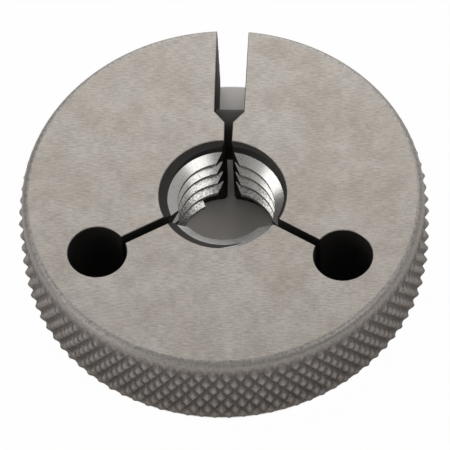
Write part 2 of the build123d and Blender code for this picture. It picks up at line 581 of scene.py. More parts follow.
# screws blackened in a hot salt bath: dark and slightly oily, and paler where the
# black has rubbed thin
RUBBED = ("#5c5956", 0.8, 4.0, (0.5, 0.8), 0.0)
BLACKENED = PatchySteel("black_oxide_screw_steel", "#2a2827", 0.42, 0.8, *RUBBED)


# ---- rule-made shapes ----------------------------------------------------------------
@dataclass
class NodeMesh:
    """A geometry tree that is built, fed with sizes and turned into a mesh."""

    name: str
    sizes: dict[str, float | int]

    def tree(self, finish: Finish) -> Tree:
        """Build the tree with one named input for every size.

        Args:
            finish: What the mesh is made of.

        Returns:
            The tree, which ends in Realize Instances and Set Material.
        """
        tree = bpy.data.node_groups.new(self.name, "GeometryNodeTree")
        for name, size in self.sizes.items():
            kind = "NodeSocketInt" if isinstance(size, int) else "NodeSocketFloat"
            tree.interface.new_socket(name=name, in_out="INPUT", socket_type=kind)
        tree.interface.new_socket(
            name="Mesh", in_out="OUTPUT", socket_type="NodeSocketGeometry"
        )
        sizes = add_node(tree, "NodeGroupInput")
        shape = self.shape(tree, {name: sizes.outputs[name] for name in self.sizes})
        real = add_node(tree, "GeometryNodeRealizeInstances", (shape,))
        values = {"Geometry": real.outputs[0], "Material": finish.material()}
        coated = add_node(tree, "GeometryNodeSetMaterial", values)
        add_node(tree, "NodeGroupOutput", (coated.outputs[0],))
        return tree

    def shape(self, tree: Tree, known: dict[str, Socket]) -> Socket:
        """Add the nodes that make the shape.

        Args:
            tree: The tree that is built.
            known: The named sizes as sockets, which those of the shape join.

        Returns:
            The socket that carries the geometry.
        """
        raise NotImplementedError

    def mesh(self, finish: Finish) -> Mesh:
        """Run the tree with these sizes.

        Args:
            finish: What the mesh is made of.

        Returns:
            The plain mesh.
        """
        host = new_object(self.name, bpy.data.meshes.new(self.name))
        maker = host.modifiers.new("maker", "NODES")
        maker.node_group = self.tree(finish)
        for item in maker.node_group.interface.items_tree:
            if item.in_out == "INPUT":
                maker[item.identifier] = self.sizes[item.name]
        result = settled_mesh(host)
        bpy.data.objects.remove(host)
        return result


class KnurledBlank(NodeMesh):
    """A round blank whose rim carries a diamond knurl between two rounded shoulders."""

    worn_top = 0.84  # of a sharp pyramid's height
    full_chance = 0.6  # the noise that leaves a crest at its full height

    def shape(self, tree: Tree, known: dict[str, Socket]) -> Socket:
        """A grid of equal steps, rolled up and pressed into pyramids, and two faces."""
        position = add_node(tree, "GeometryNodeInputPosition").outputs[0]
        at = add_node(tree, "ShaderNodeSeparateXYZ", (position,)).outputs
        known.update(x=at["X"], y=at["Y"])
        # an operation and its inputs, which may be earlier sums
        sums = (
            # steps round the rim and up it, and a point's place among them
            ("cells", "MULTIPLY", "Teeth", 2),
            ("around", "MULTIPLY", "cells", "Steps"),
            ("knurled", "MULTIPLY", "Rows", "Steps"),
            ("up", "MULTIPLY_ADD", "Edge rows", 2, "knurled"),
            ("columns", "ADD", "around", 1),
            ("levels", "ADD", "up", 1),
            ("half around", "DIVIDE", "around", 2),
            ("half up", "DIVIDE", "up", 2),
            ("column", "ADD", "x", "half around"),
            ("level", "ADD", "y", "half up"),
            ("row", "SUBTRACT", "level", "Edge rows"),
            ("across", "DIVIDE", "column", "Steps"),
            ("over", "DIVIDE", "row", "Steps"),
            # every cell is folded along the valley that crosses it
            ("cell across", "FLOOR", "across"),
            ("cell over", "FLOOR", "over"),
            ("cell", "ADD", "cell across", "cell over"),
            ("parity", "FLOORED_MODULO", "cell", 2),
            ("is odd", "GREATER_THAN", "parity", 0.5),
            ("is even", "SUBTRACT", 1, "is odd"),
            # pyramids: how near the closest valley of either helix is
            ("rising", "ADD", "across", "over"),
            ("falling", "SUBTRACT", "across", "over"),
            ("off rising", "PINGPONG", "rising", 1),
            ("off falling", "PINGPONG", "falling", 1),
            ("off ridge", "MAXIMUM", "off rising", "off falling"),
            ("pyramid", "SUBTRACT", 1, "off ridge"),
            ("worn", "SMOOTH_MIN", "pyramid", self.worn_top, "Rounding"),
            ("peak", "DIVIDE", "worn", self.worn_top),
            # rows are evenly spaced between the knurl's ends, and close up to the faces
            ("to end", "SUBTRACT", "knurled", "row"),
            ("from end", "MINIMUM", "row", "to end"),
            ("beyond end", "MINIMUM", "from end", 0),
            ("beyond share", "DIVIDE", "beyond end", "Edge rows"),
            ("face share", "ADD", "beyond share", 1),
            ("squared share", "MULTIPLY", "face share", "face share"),
            ("knurl height", "MULTIPLY_ADD", "End row height", -2, "Thickness"),
            ("row step", "DIVIDE", "knurl height", "knurled"),
            ("inside end", "MAXIMUM", "from end", 0),
            ("inside gap", "MULTIPLY", "inside end", "row step"),
            ("gap", "MULTIPLY_ADD", "squared share", "End row height", "inside gap"),
            ("middle row", "MULTIPLY", "knurled", 0.5),
            ("is low", "LESS_THAN", "row", "middle row"),
            ("upper z", "SUBTRACT", "Thickness", "gap"),
            ("z change", "SUBTRACT", "gap", "upper z"),
            ("z", "MULTIPLY_ADD", "is low", "z change", "upper z"),
            # the crests grow from nothing at the shoulder to their full height, and
            # the roll bit deeper at the lower side
            ("taper change", "SUBTRACT", "Lower taper", "Upper taper"),
            ("taper", "MULTIPLY_ADD", "is low", "taper change", "Upper taper"),
            ("past start", "SUBTRACT", "gap", "Taper start"),
            ("taper share", "DIVIDE", "past start", "taper"),
            ("started", "MAXIMUM", "taper share", 0),
            ("grown", "MINIMUM", "started", 1),
            ("flattening", "MULTIPLY_ADD", "grown", -2, 3),
            ("grown squared", "MULTIPLY", "grown", "grown"),
            ("growth", "MULTIPLY", "grown squared", "flattening"),
            ("grown peak", "MULTIPLY", "peak", "growth"),
            ("relief", "MULTIPLY", "grown peak", "Depth"),
            # the shoulder is rolled over in a quarter ellipse, down to the foot
            ("valley radius", "SUBTRACT", "Crest radius", "Depth"),
            ("width", "SUBTRACT", "valley radius", "Face radius"),
            ("rise", "DIVIDE", "gap", "Shoulder height"),
            ("near", "MINIMUM", "rise", 1),
            ("far", "SUBTRACT", 1, "near"),
            ("far squared", "MULTIPLY", "far", "far"),
            ("out squared", "SUBTRACT", 1, "far squared"),
            ("out", "SQRT", "out squared"),
            ("foot radius", "MULTIPLY_ADD", "out", "width", "Face radius"),
            ("cell angle", "DIVIDE", pi, "Teeth"),
            ("angle", "MULTIPLY_ADD", "across", "cell angle", "Start angle"),
            ("cosine", "COSINE", "angle"),
            ("sine", "SINE", "angle"),
            ("patches", "DIVIDE", 1, "Unevenness size"),
        )
        combine = "ShaderNodeCombineXYZ"
        feet = (
            ("outward", combine, ("cosine", "sine"), {}),
            ("upward", combine, {"Z": "z"}, {}),
            ("foot", VECTORS, ("outward", "foot radius", "upward"), MULTIPLY_ADD),
            ("chance", NOISE, {"Vector": "foot", "Scale": "patches"}, {}),
        )
        # no two crests are rolled up equally high, and none past the crest radius
        crests = (
            ("lost", "MULTIPLY", "Unevenness", self.full_chance),
            ("gained", "MULTIPLY_ADD", "chance", "Unevenness", 1),
            ("kept", "SUBTRACT", "gained", "lost"),
            ("limited", "MINIMUM", "kept", 1),
            ("pushed", "MULTIPLY", "relief", "limited"),
        )
        rolled = {"Geometry": "folded", "Position": "spot"}
        low = {"Geometry": "disc", "Rotation": "turn"}
        filled, other_way = {"fill_type": "NGON"}, {"quad_method": "FIXED_ALTERNATE"}
        fold, shift = "GeometryNodeTriangulate", "GeometryNodeTransform"
        shell = (
            ("grid", "GeometryNodeMeshGrid", ("around", "up", "columns", "levels"), {}),
            ("half folded", fold, ("grid", "is odd"), {"quad_method": "FIXED"}),
            ("folded", fold, ("half folded", "is even"), other_way),
            ("spot", VECTORS, ("outward", "pushed", "foot"), MULTIPLY_ADD),
            ("rim", "GeometryNodeSetPosition", rolled, {}),
            ("disc", "GeometryNodeMeshCircle", ("around", "Face radius"), filled),
            ("turn", combine, {"Z": "Start angle"}, {}),
            ("lift", combine, {"Z": "Thickness"}, {}),
            ("top", shift, {**low, "Translation": "lift"}, {}),
            ("bottom", shift, low, {}),
            ("under", "GeometryNodeFlipFaces", ("bottom",), {}),
        )
        sums, crests = (
            [
                (name, MATHS, inputs, {"operation": operation})
                for name, operation, *inputs in table
            ]
            for table in (sums, crests)
        )
        for rows in (sums, feet, crests, shell):
            add_nodes(tree, known, rows)
        whole = add_node(tree, "GeometryNodeJoinGeometry")
        for part in ("under", "top", "rim"):
            tree.links.new(known[part], whole.inputs[0])
        values = {"Geometry": whole.outputs[0], "Distance": WELD}
        return add_node(tree, "GeometryNodeMergeByDistance", values).outputs[0]


class HelicalRidge(NodeMesh):
    """A thread ridge of trapezium section along a helix, with blunt ends."""

    def shape(self, tree: Tree, known: dict[str, Socket]) -> Socket:
        """A helix on the middle of the ridge, and the section swept along it."""
        helix = {
            "Resolution": "Points per turn",
            "Rotations": "Turns",
            "Start Radius": "middle",
            "End Radius": "middle",
            "Height": "Rise",
            "Reverse": True,
        }
        section = {
            "Bottom Width": "Inner width",
            "Top Width": "Outer width",
            "Height": "Depth",
            "Offset": 0.0,
        }
        outward = {"Geometry": "section", "Rotation": (0.0, 0.0, -pi / 2)}
        sweep = {"Curve": "upright", "Profile Curve": "outward", "Fill Caps": True}
        trapezium = {"mode": "TRAPEZOID"}
        rows = (
            ("middle", MATHS, ("Depth", 0.5, "Inner radius"), MULTIPLY_ADD),
            ("path", "GeometryNodeCurveSpiral", helix, {}),
            ("upright", "GeometryNodeSetCurveNormal", ("path",), {"mode": "Z_UP"}),
            ("section", "GeometryNodeCurvePrimitiveQuadrilateral", section, trapezium),
            ("outward", "GeometryNodeTransform", outward, {}),
            ("ridge", "GeometryNodeCurveToMesh", sweep, {}),
        )
        add_nodes(tree, known, rows)
        return known["ridge"]


def ridge_mesh(
    name: str,
    pitch: float,
    turns: float,
    inner: Point,
    outer: Point,
    finish: Finish,
    per_turn: int = 96,
) -> Mesh:
    """A right-hand thread ridge round +Z, from +X at height 0.

    Args:
        name: The tree's name.
        pitch: Rise in one turn, in millimetres, as all sizes here.
        turns: How far the ridge goes round.
        inner: Radius and width of its inner side.
        outer: Radius and width of its outer side.
        finish: What it is made of.
        per_turn: Points of the helix in one turn.

    Returns:
        The closed mesh.
    """
    sizes = {
        "Points per turn": per_turn,
        "Turns": float(turns),
        "Rise": pitch * turns * MM,
        "Inner radius": inner[0] * MM,
        "Inner width": inner[1] * MM,
        "Depth": (outer[0] - inner[0]) * MM,
        "Outer width": outer[1] * MM,
    }
    return HelicalRidge(name, sizes).mesh(finish)


def moved(mesh: Mesh, turn: Matrix, shift: Triple) -> Mesh:
    """Turn a mesh about the origin, then shift it.

    Args:
        mesh: The mesh, which is changed.
        turn: The rotation.
        shift: Millimetres along each axis.

    Returns:
        The same mesh.
    """
    mesh.transform(Matrix.Translation(Vector(shift) * MM) @ turn.to_4x4())
    return mesh


ALONG_X = Matrix.Rotation(pi / 2, 3, "Y")


def dressed(
    name: str,
    mesh: Mesh,
    finishes: Sequence[Finish],
    choose: Callable[[bpy.types.MeshPolygon], int],
    soften: Sequence[int] = (),
    crease: float = 28.0,
) -> bpy.types.Object:
    """Give every face its finish, smooth the round ones, and make the piece an object.

    Args:
        name: The piece's name.
        mesh: Its closed mesh.
        finishes: The finishes that it carries.
        choose: Gives a face the place of its finish among them.
        soften: Places of finishes whose faces meet with no sharp edge.
        crease: Degrees above which an edge stays sharp.

    Returns:
        The piece.
    """
    mesh.materials.clear()
    for finish in finishes:
        mesh.materials.append(finish.material())
    chosen = [choose(face) for face in mesh.polygons]
    mesh.polygons.foreach_set("material_index", chosen)
    mesh.shade_smooth()
    mesh.set_sharp_from_angle(angle=radians(crease))
    owners: dict[int, set[tuple[int, bool]]] = {}
    for face, finish_place in zip(mesh.polygons, chosen):
        is_level = abs(face.normal.z) > FLAT
        for loop in face.loop_indices:
            owner = (finish_place, is_level)
            owners.setdefault(mesh.loops[loop].edge_index, set()).add(owner)
    for edge in mesh.edges:
        if {place for place, _ in owners[edge.index]} <= set(soften):
            edge.use_edge_sharp = False
        elif len({is_level for _, is_level in owners[edge.index]}) == 2:
            edge.use_edge_sharp = True  # so a big level face stays evenly lit
    mesh.name = name
    return new_object(name, mesh)


# ---- the pieces ----------------------------------------------------------------------
@dataclass
class ScrewLine:
    """The stepped hole for the two screws and the sleeve, parallel to X."""

    y: float = 11.4
    z: float = 5.555
    head_shoulder_x: float = -11.0
    sleeve_seat_x: float = -7.5
    tapping_end_x: float = 4.5
    way_in_r: float = 3.175
    web_hole_r: float = 1.9
    sleeve_hole_r: float = 2.8
    pitch: float = 25.4 / 28
    tapped_depth: float = 0.45
    tapped_crest: float = 0.12  # width of the tapped ridge's crest
    tapped_root: float = 0.72  # and of its root, which is buried this far
    tapped_bury: float = 0.12

    @property
    def centre(self) -> Triple:
        """The point of the line at X = 0."""
        return (0.0, self.y, self.z)

    def cutter(self, reach: float) -> Mesh:
        """The whole hole, from rim to rim.

        Args:
            reach: How far it goes each way.

        Returns:
            The closed cutter.
        """
        profile = [
            (0, -reach),
            (self.way_in_r, -reach),
            (self.way_in_r, self.head_shoulder_x),
            (self.web_hole_r, self.head_shoulder_x),
            (self.web_hole_r, self.sleeve_seat_x),
            (self.sleeve_hole_r, self.sleeve_seat_x),
            (self.sleeve_hole_r, self.tapping_end_x),
            (self.way_in_r, self.tapping_end_x),
            (self.way_in_r, reach),
            (0, reach),
        ]
        return turned(profile, Axis.ALONG, self.centre)

    def tapped_ridge(self, from_x: float, to_x: float) -> Mesh:
        """The thread left in the right-hand hole, beyond the adjusting screw.

        Args:
            from_x: Where it starts.
            to_x: Where it ends.

        Returns:
            The closed ridge, a little buried in the hole's wall.
        """
        ridge = ridge_mesh(
            "tapped_thread",
            self.pitch,
            (to_x - from_x) / self.pitch,
            (self.way_in_r - self.tapped_depth, self.tapped_crest),
            (self.way_in_r + self.tapped_bury, self.tapped_root),
            SCALED,
            HELIX_STEPS,
        )
        return moved(ridge, ALONG_X, (from_x, self.y, self.z))


@dataclass
class RingBody:
    """The knurled disc with its gauging thread, split, saw cuts and relief holes."""

    outside_r: float = 22.39
    face_r: float = 21.1
    shoulder_height: float = 0.8
    taper_start: float = 0.2
    upper_taper: float = 3.0
    lower_taper: float = 1.2
    end_row_height: float = 1.0
    edge_rows: int = 7
    knurl_teeth: int = 92
    knurl_rows: int = 7
    knurl_steps: int = 5
    knurl_depth: float = 0.52
    knurl_start: float = -0.77
    knurl_rounding: float = 0.14
    knurl_unevenness: float = 0.8
    uneven_patch: float = 1.1
    pitch: float = 25.4 / 13
    minor_r: float = 5.29
    major_r: float = 6.35
    crest_flat: float = 0.40
    flank_angle: float = 30.0
    ridge_start_angle: float = 121.0
    ridge_start_z: float = 1.27
    ridge_turns: float = 4 + 209 / 360
    runout_turns: float = 0.22
    ridge_bury: float = 0.2
    bore_x: float = 0.32
    recess_r: float = 6.95
    recess_inner_r: float = 5.9
    recess_slope: float = 25.0
    slit_width: float = 0.92
    slit_angles: tuple[float, float] = (210.0, 330.0)
    # distance from the bore's centre and width there, of the vee at every cut's mouth
    mouth: tuple[Point, ...] = ((4.9, 2.77), (6.35, 1.28))
    # and of the split beyond it, sprung 0.28 mm open
    split: tuple[Point, ...] = ((6.8, 0.82), (9.35, 0.88), (10.75, 3.24), (24.4, 3.57))
    mouth_end: float = 6.7  # where a saw cut is down to its own width
    relief_r: float = 3.2
    relief_pitch_r: float = 15.3
    edge_break: float = 0.07
    beyond: float = 2.0  # how far every cutter passes what it cuts
    # how far a face may be off the place that gives it its finish: off the disc's
    # faces, off the bore's wall, off the recess's cone and outside the recess
    off_face: float = 0.01
    off_wall: float = 0.02
    off_cone: float = 0.05
    off_recess: float = 0.1
    # shares of its normal: along Z, of level faces, cones, flanks and broken edges,
    # round the bore, of saw cuts, and any share so small that it counts as none
    level_share: float = 0.999
    cone_share: float = 0.88
    flank_share: float = 0.8
    break_share: float = 0.5
    sawn_share: float = 0.6
    no_share: float = 0.1
    tapped_from_x: float = 14.1
    tapped_to_x: float = 19.6

    def __post_init__(self) -> None:
        """Take the thickness from the frame."""
        low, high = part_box("ring_body")
        self.thickness: float = (high.z - low.z) / MM

    def blank(self) -> Mesh:
        """The knurled disc before it is bored."""
        sizes = {
            "Teeth": self.knurl_teeth,
            "Rows": self.knurl_rows,
            "Steps": self.knurl_steps,
            "Crest radius": self.outside_r * MM,
            "Depth": self.knurl_depth * MM,
            "Face radius": self.face_r * MM,
            "Thickness": self.thickness * MM,
            "Shoulder height": self.shoulder_height * MM,
            "Taper start": self.taper_start * MM,
            "Upper taper": self.upper_taper * MM,
            "Lower taper": self.lower_taper * MM,
            "End row height": self.end_row_height * MM,
            "Edge rows": self.edge_rows,
            "Start angle": radians(self.knurl_start),
            "Rounding": self.knurl_rounding,
            "Unevenness": self.knurl_unevenness,
            "Unevenness size": self.uneven_patch * MM,
        }
        return KnurledBlank("knurled_blank", sizes).mesh(KNURLED)

    def flared(self, half: float) -> list[Point]:
        """Half width and height of a straight cut whose mouths have broken edges.

        Args:
            half: The cut's half width, or its radius.

        Returns:
            Half width and height, from below the disc to above it.
        """
        top, edge = self.thickness, self.edge_break
        return [
            (half + edge, -self.beyond),
            (half + edge, 0.0),
            (half, edge),
            (half, top - edge),
            (half + edge, top),
            (half + edge, top + self.beyond),
        ]

    def round_cutter(self, radius: float, centre: Triple) -> Mesh:
        """A hole through the disc with broken edges.

        Args:
            radius: Its radius.
            centre: Where its axis meets the bottom face.

        Returns:
            The closed cutter.
        """
        wall = self.flared(radius)
        profile = [(0, wall[0][1]), *wall, (0, wall[-1][1])]
        return turned(profile, Axis.UP, centre, HOLE_SIDES)

    def recess_depth(self, radius: float) -> float:
        """How far a recess's cone falls inwards from a radius to its inner edge.

        Args:
            radius: Distance from the gauge's axis.

        Returns:
            The fall along Z.
        """
        return (radius - self.recess_inner_r) * tan(radians(self.recess_slope))

    def recess_cutter(self) -> Mesh:
        """The bore's shallow recesses at both faces."""
        top, edge = self.thickness, self.edge_break
        depth = self.recess_depth(self.recess_r)
        half = [
            (0, -self.beyond),
            (self.recess_r + edge, -self.beyond),
            (self.recess_r + edge, 0.0),
            (self.recess_r, edge),
            (self.recess_inner_r, depth + edge),
        ]
        mirrored = [(radius, top - height) for radius, height in half[::-1]]
        return turned([*half, *mirrored], Axis.UP, (0.0, 0.0, 0.0), BORE_SIDES)

    def gap_cutter(self, widths: Sequence[Point], angle: float) -> Mesh:
        """A cut that starts inside the bore, with broken edges.

        Args:
            widths: Distance along it and its width there, from the bore outwards.
            angle: Its direction from +X, in degrees.

        Returns:
            The closed cutter.
        """
        along = Vector((cos(radians(angle)), sin(radians(angle))))
        across = Vector((along.y, -along.x))
        levels = []
        for edge, z in self.flared(0):
            right = [along * d + across * (width / 2 + edge) for d, width in widths]
            left = [along * d - across * (width / 2 + edge) for d, width in widths]
            outline = [(corner.x, corner.y) for corner in right + left[::-1]]
            levels.append((z, outline))
        return layered(levels)

    def cutters(self, screws: ScrewLine) -> list[Mesh]:
        """Every cut but the bore.

        Args:
            screws: The hole for the screws.

        Returns:
            The closed cutters.
        """
        tools = []
        for angle in self.slit_angles:
            away = radians(angle)
            x, y = self.relief_pitch_r * cos(away), self.relief_pitch_r * sin(away)
            tools.append(self.round_cutter(self.relief_r, (x, y, 0.0)))
            mouth = (*self.mouth, (self.mouth_end, self.slit_width))
            slit = [(d + self.bore_x * cos(away), width) for d, width in mouth]
            slit.append((self.relief_pitch_r, self.slit_width))
            tools.append(self.gap_cutter(slit, angle))
        split = self.gap_cutter((*self.mouth, *self.split), 90.0)
        tools.append(moved(split, Matrix.Identity(3), (self.bore_x, 0.0, 0.0)))
        tools.append(screws.cutter(self.outside_r + self.beyond))
        return tools

    def ridge_width(self, radius: float) -> float:
        """Width of the gauging thread's ridge.

        Args:
            radius: Distance from the bore's axis.

        Returns:
            The width along Z there.
        """
        rise = (radius - self.minor_r) * tan(radians(self.flank_angle))
        return self.crest_flat + 2 * rise

    def thread(self, screws: ScrewLine) -> Mesh:
        """The gauging thread, cut by the split and the saw cuts.

        Args:
            screws: The hole for the screws.

        Returns:
            The closed pieces of its ridge.
        """
        # the last stretch runs out across the recess, so its flank reaches further
        stretches = (
            (0.0, self.ridge_turns, self.major_r + self.ridge_bury),
            (self.ridge_turns - self.runout_turns, self.ridge_turns, self.recess_r),
        )
        whole = None
        for start, end, outer_r in stretches:
            stretch = ridge_mesh(
                "gauging_thread",
                self.pitch,
                end - start,
                (self.minor_r, self.crest_flat),
                (outer_r, self.ridge_width(outer_r)),
                LAPPED,
            )
            around = radians(self.ridge_start_angle) + 2 * pi * start
            turn = Matrix.Rotation(around, 3, "Z")
            shift = (self.bore_x, 0.0, self.ridge_start_z + self.pitch * start)
            moved(stretch, turn, shift)
            whole = joined(whole, stretch, Join.ADD) if whole else stretch
        side = 2 * self.major_r
        square = [(-side, -side), (side, -side), (side, side), (-side, side)]
        top = self.thickness
        above = layered([(top, square), (top + self.beyond, square)])
        for tool in (above, *self.cutters(screws)):
            whole = joined(whole, tool, Join.CUT)
        return whole

    def surface(self, face: bpy.types.MeshPolygon) -> int:
        """Which finish a face takes: ground, knurled, scaled or lapped.

        Args:
            face: A face of the finished ring.

        Returns:
            Its place among the ring's finishes.
        """
        x, y, z = face.center / MM
        normal = face.normal
        slope = abs(normal.z)
        radius = hypot(x, y)
        bore_radius = hypot(x - self.bore_x, y)
        sideways = abs(normal.y * (x - self.bore_x) - normal.x * y) / bore_radius
        outward = (normal.x * x + normal.y * y) / max(radius, WELD)
        to_face = min(z, self.thickness - z)
        if slope > self.level_share and to_face < self.off_face:
            return 0
        if radius > self.face_r and outward > self.no_share:
            return 1
        if to_face < self.edge_break and slope > self.break_share:
            return 0
        if sideways > self.sawn_share and slope < self.no_share:
            return 2
        if bore_radius < self.major_r - self.off_wall or slope > self.flank_share:
            depth = self.recess_depth(self.recess_r) + self.edge_break
            off_cone = abs(depth - self.recess_depth(radius) - to_face)
            on_cone = off_cone < self.off_cone and slope > self.cone_share
            if radius < self.recess_r + self.off_recess and not on_cone:
                return 3
        return 2

    def build(self, screws: ScrewLine) -> bpy.types.Object:
        """Bore, saw and drill the blank, and add the thread.

        Args:
            screws: The hole for the screws.

        Returns:
            The ring.
        """
        blank = self.blank()
        ring = blank.copy()
        bore = turned(
            [
                (0, -self.beyond),
                (self.major_r, -self.beyond),
                (self.major_r, self.thickness + self.beyond),
                (0, self.thickness + self.beyond),
            ],
            Axis.UP,
            (self.bore_x, 0.0, 0.0),
            BORE_SIDES,
        )
        for tool in (bore, self.recess_cutter(), *self.cutters(screws)):
            ring = joined(ring, tool, Join.CUT)
        ring = joined(ring, self.thread(screws), Join.ADD)
        tapped = screws.tapped_ridge(self.tapped_from_x, self.tapped_to_x)
        tapped = joined(tapped, blank, Join.KEEP)
        ring = joined(ring, tapped, Join.ADD)
        finishes = (GROUND, KNURLED, SCALED, LAPPED)
        return dressed("ring", ring, finishes, self.surface, soften=(1,))


@dataclass
class Sleeve:
    """The hardened tube that crosses the split and takes the screws' load."""

    wall_r: float = 1.85
    chamfer: float = 0.2

    def build(self) -> bpy.types.Object:
        """Turn the tube with chamfered ends."""
        low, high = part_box("sleeve")
        start, end = low.x / MM, high.x / MM
        outer_r = (high.z - low.z) / MM / 2
        middle = (low + high) / MM / 2
        inner = self.wall_r + self.chamfer / 2
        profile = [
            (inner, start),
            (outer_r - self.chamfer, start),
            (outer_r, start + self.chamfer),
            (outer_r, end - self.chamfer),
            (outer_r - self.chamfer, end),
            (inner, end),
            (self.wall_r, end - self.chamfer / 2),
            (self.wall_r, start + self.chamfer / 2),
        ]
        mesh = turned(profile, Axis.ALONG, (0.0, middle.y, middle.z))
        return dressed("cross_sleeve", mesh, (HARDENED,), lambda face: 0)


@dataclass
class Screw:
    """What the two slotted screws have in common."""

    node: str
    crest_r: float
    root_r: float
    pitch: float
    chamfer: float = 0.4
    slot_width: float = 1.2
    slot_depth: float = 1.5
    saw_reach: float = 5.0  # how far the slot's cutter passes the axis
    overrun: float = 1.0  # and the screw's end
    thread_bury: float = 0.06
    thread_proud: float = 0.01  # trimmed off by the screw's outline
    root_share: float = 0.86  # widths of the ridge in pitches
    crest_share: float = 0.14

    def __post_init__(self) -> None:
        """Take the screw's place from the frame."""
        low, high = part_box(self.node)
        self.start_x, self.end_x = low.x / MM, high.x / MM
        middle = (low + high) / MM / 2
        self.centre: Triple = (0.0, middle.y, middle.z)

    def slotted(self, mesh: Mesh, from_x: float, to_x: float) -> Mesh:
        """Saw the driver slot across an end.

        Args:
            mesh: The screw.
            from_x: Start of the saw cut along X.
            to_x: Its end.

        Returns:
            The screw with its slot.
        """
        _, y, z = self.centre
        half, far = self.slot_width / 2, self.saw_reach
        outline = [
            (from_x, y - half),
            (to_x, y - half),
            (to_x, y + half),
            (from_x, y + half),
        ]
        return joined(mesh, layered([(z - far, outline), (z + far, outline)]), Join.CUT)

    def threaded(
        self,
        core: Sequence[Point],
        outline: Sequence[Point],
        from_x: float,
        to_x: float,
    ) -> Mesh:
        """Turn the screw and add its thread ridge, kept inside its outline.

        Args:
            core: Radius and X of each corner, turned down to the thread's root.
            outline: The same over the crests.
            from_x: Start of the thread.
            to_x: Its end.

        Returns:
            The threaded screw.
        """
        body, envelope = (
            turned(profile, Axis.ALONG, self.centre) for profile in (core, outline)
        )
        ridge = ridge_mesh(
            f"{self.node}_thread",
            self.pitch,
            (to_x - from_x) / self.pitch,
            (self.root_r - self.thread_bury, self.pitch * self.root_share),
            (self.crest_r + self.thread_proud, self.pitch * self.crest_share),
            BLACKENED,
            HELIX_STEPS,
        )
        _, y, z = self.centre
        moved(ridge, ALONG_X, (from_x, y, z))
        return joined(body, joined(ridge, envelope, Join.KEEP), Join.ADD)


@dataclass
class AdjustingScrew(Screw):
    """The short hollow screw in the right half, which bears on the sleeve's end."""

    bore_r: float = 1.75
    least_chamfer: float = 0.05

    def outline(self, outer_r: float) -> list[Point]:
        """Half section of the hollow screw.

        Args:
            outer_r: Its outer radius.

        Returns:
            Radius and X of every corner.
        """
        start, end = self.start_x, self.end_x
        lead = max(outer_r - self.crest_r + self.chamfer, self.least_chamfer)
        return [
            (self.bore_r, start),
            (outer_r - lead, start),
            (outer_r, start + lead),
            (outer_r, end - lead),
            (outer_r - lead, end),
            (self.bore_r, end),
        ]

    def build(self) -> bpy.types.Object:
        """Turn, thread and slot the screw."""
        core, outline = self.outline(self.root_r), self.outline(self.crest_r)
        lead, end = self.chamfer / 2, self.end_x
        mesh = self.threaded(core, outline, self.start_x + lead, end - lead)
        mesh = self.slotted(mesh, end - self.slot_depth, end + self.overrun)
        return dressed("hollow_screw", mesh, (BLACKENED,), lambda face: 0)


@dataclass
class LockingScrew(Screw):
    """The fillister-head screw that pulls the two halves together."""

    head_height: float = 3.5
    head_r: float = 2.85
    crown: float = 0.35
    crown_steps: int = 6
    thread_length: float = 6.2
    tip_chamfer: float = 0.1

    def build(self) -> bpy.types.Object:
        """Turn, thread and slot the screw."""
        start, end, shank_r = self.start_x, self.end_x, self.crest_r
        shoulder, thread_x = start + self.head_height, end - self.thread_length
        count = self.crown_steps
        turns = [pi / 2 * step / count for step in range(count + 1)]
        head = [
            *((self.head_r * sin(t), start + self.crown * (1 - cos(t))) for t in turns),
            (self.head_r, shoulder),
            (shank_r, shoulder),
        ]
        core = [
            *head,
            (shank_r, thread_x),
            (self.root_r, thread_x + self.chamfer),
            (self.root_r, end - self.tip_chamfer),
            (self.root_r - self.tip_chamfer, end),
            (0, end),
        ]
        outline = [
            *head,
            (shank_r, end - self.chamfer),
            (shank_r - self.chamfer, end),
            (0, end),
        ]
        mesh = self.threaded(core, outline, thread_x, end - self.chamfer / 2)
        mesh = self.slotted(mesh, start - self.overrun, start + self.slot_depth)
        return dressed("fillister_screw", mesh, (BLACKENED,), lambda face: 0)


# ---- the studio ----------------------------------------------------------------------
def direction(azimuth: float, elevation: float) -> Vector:
    """A unit vector from its angles in degrees.

    Args:
        azimuth: From +X towards +Y.
        elevation: Above the floor.

    Returns:
        The vector.
    """
    around, up = radians(azimuth), radians(elevation)
    return Vector((cos(around) * cos(up), sin(around) * cos(up), sin(up)))


@dataclass(frozen=True)
class Softbox:
    """A square lamp that faces the gauge."""

    name: str
    azimuth: float  # degrees from +X towards +Y
    elevation: float
    distance: float  # metres
    side: float
    brightness: float  # radiance, where 1 renders white paper white

    def build(self) -> None:
        """Hang the lamp."""
        lamp = bpy.data.lights.new(self.name, "AREA")
        lamp.shape, lamp.size = "SQUARE", self.side
        lamp.energy = self.brightness * pi * self.side**2
        box = bpy.data.objects.new(self.name, lamp)
        away = direction(self.azimuth, self.elevation)
        box.location = away * self.distance
        box.rotation_euler = away.to_track_quat("Z", "Y").to_euler()
        bpy.context.scene.collection.objects.link(box)


